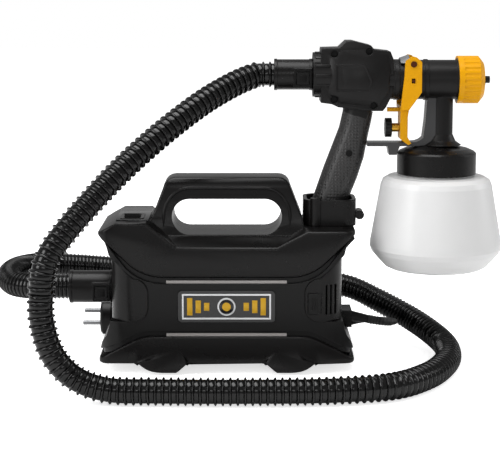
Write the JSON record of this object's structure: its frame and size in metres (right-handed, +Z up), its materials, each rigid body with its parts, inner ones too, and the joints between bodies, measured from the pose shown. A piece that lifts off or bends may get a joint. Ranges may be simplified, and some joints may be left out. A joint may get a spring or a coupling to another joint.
{
  "type": "turbine paint sprayer",
  "caption": "Paint sprayer with a carry-handled turbine base, a ribbed air hose, and a trigger gun with a round paint cup standing in a holder on the base.",
  "frame": {"origin": "on the ground under the middle of the base and gun together", "axes": "+X towards the spray tip, +Y to the back of the base, +Z up"},
  "size_m": [0.5134, 0.3233, 0.3216],
  "materials": {
    "black_plastic": "satin",
    "soft_black_plastic": "satin",
    "grey_strip": "satin",
    "badge": "gloss",
    "rubber": "matte",
    "foam": "matte",
    "steel": "satin",
    "yellow_plastic": "satin",
    "grey_bail": "satin",
    "brass": "satin",
    "fan_plastic": "satin",
    "white_plastic": "satin",
    "hose_plastic": "gloss"
  },
  "bodies": {
    "base": {"top_shell_front": "black_plastic", "top_shell_back": "black_plastic", "mid_shell_front": "soft_black_plastic", "mid_shell_back": "soft_black_plastic", "bottom_tray": "black_plastic", "rubber_feet": "rubber", "trim_strips": "grey_strip", "badge_plate": "badge", "outlet_cover": "black_plastic", "air_filter": "foam", "switch_body": "black_plastic", "gun_holder": "black_plastic", "holder_screws": "steel", "side_clip": "black_plastic", "outlet_socket": "black_plastic", "fan_housing": "fan_plastic", "motor_can": "steel", "motor_bearings": "steel", "motor_mounts": "rubber", "base_screws": "steel", "cord_gland": "black_plastic", "hose": "hose_plastic", "base_cuff": "black_plastic", "cord_start": "rubber", "cord_hank": "rubber", "cord_end": "rubber", "hank_tie": "soft_black_plastic", "plug_body": "black_plastic", "plug_pins": "steel"},
    "filter_cover": {"filter_cover": "black_plastic"},
    "cover_latch": {"cover_latch": "soft_black_plastic"},
    "power_switch": {"power_switch": "soft_black_plastic"},
    "rotor": {"impeller": "fan_plastic", "motor_shaft": "steel"},
    "base_button": {"base_cuff_button": "soft_black_plastic"},
    "gun": {"gun_shell_near": "black_plastic", "gun_shell_far": "black_plastic", "gun_screws": "steel", "air_tube": "soft_black_plastic", "spray_head": "black_plastic", "trigger_guard": "soft_black_plastic", "trigger_screws": "steel", "trigger_bail": "grey_bail", "needle_spring": "steel", "fluid_nozzle": "brass", "cup_lid": "black_plastic", "cup_gasket": "rubber", "suction_tube": "white_plastic", "gun_cuff": "black_plastic"},
    "gun_button": {"gun_cuff_button": "soft_black_plastic"},
    "trigger": {"trigger": "yellow_plastic"},
    "flow_knob": {"flow_knob": "brass"},
    "needle": {"needle": "steel"},
    "air_cap": {"air_cap": "black_plastic"},
    "nozzle_nut": {"nozzle_nut": "yellow_plastic"},
    "cup": {"cup": "white_plastic"}
  },
  "joints": [
    {"name": "filter_cover_slide", "type": "slide", "parent": "base", "child": "filter_cover", "axis": [1, 0, 0], "range_m": [0, 0.028]},
    {"name": "cover_latch_slide", "type": "slide", "parent": "filter_cover", "child": "cover_latch", "axis": [1, 0, 0], "range_m": [0, 0.003]},
    {"name": "power_switch_rock", "type": "hinge", "parent": "base", "child": "power_switch", "pos_m": [-0.15015, -0.022, 0.1485], "axis": [1, 0, 0], "range_deg": [0, 14]},
    {"name": "fan_spin", "type": "hinge", "parent": "base", "child": "rotor", "pos_m": [-0.0579, 0, 0.075], "axis": [1, 0, 0], "continuous": true},
    {"name": "base_button_press", "type": "slide", "parent": "base", "child": "base_button", "axis": [0, 1, 0], "range_m": [0, 0.0012], "stiffness_N_per_m": 800},
    {"name": "gun_lift", "type": "slide", "parent": "base", "child": "gun", "axis": [0.3518, 0, 0.9361], "range_m": [0, 0.08], "deforming": ["hose"]},
    {"name": "gun_button_press", "type": "slide", "parent": "gun", "child": "gun_button", "axis": [0, 1, 0], "range_m": [0, 0.0012], "stiffness_N_per_m": 800},
    {"name": "trigger_pull", "type": "hinge", "parent": "gun", "child": "trigger", "pos_m": [0.1238, 0, 0.2992], "axis": [0, 1, 0], "range_deg": [0, 12], "stiffness_Nm_per_rad": 1.5, "springref_deg": -5.73},
    {"name": "flow_knob_turn", "type": "hinge", "parent": "trigger", "child": "flow_knob", "pos_m": [0.1076, 0, 0.2355], "axis": [1, 0, 0], "range_deg": [-90, 90]},
    {"name": "needle_draw", "type": "slide", "parent": "gun", "child": "needle", "axis": [1, 0, 0], "range_m": [-0.0036, 0], "deforming": ["needle_spring"]},
    {"name": "air_cap_turn", "type": "hinge", "parent": "gun", "child": "air_cap", "pos_m": [0.1826, 0, 0.283], "axis": [1, 0, 0], "range_deg": [0, 90]},
    {"name": "nozzle_nut_turn", "type": "hinge", "parent": "gun", "child": "nozzle_nut", "pos_m": [0.1826, 0, 0.283], "axis": [1, 0, 0], "range_deg": [0, 180]},
    {"name": "cup_turn", "type": "hinge", "parent": "gun", "child": "cup", "pos_m": [0.1501, 0, 0.183], "axis": [0, 0, 1], "range_deg": [0, 120]}
  ],
  "couplings": [
    {"joint": "needle_draw", "follows": "trigger_pull", "m_per_rad": -0.0162}
  ]
}
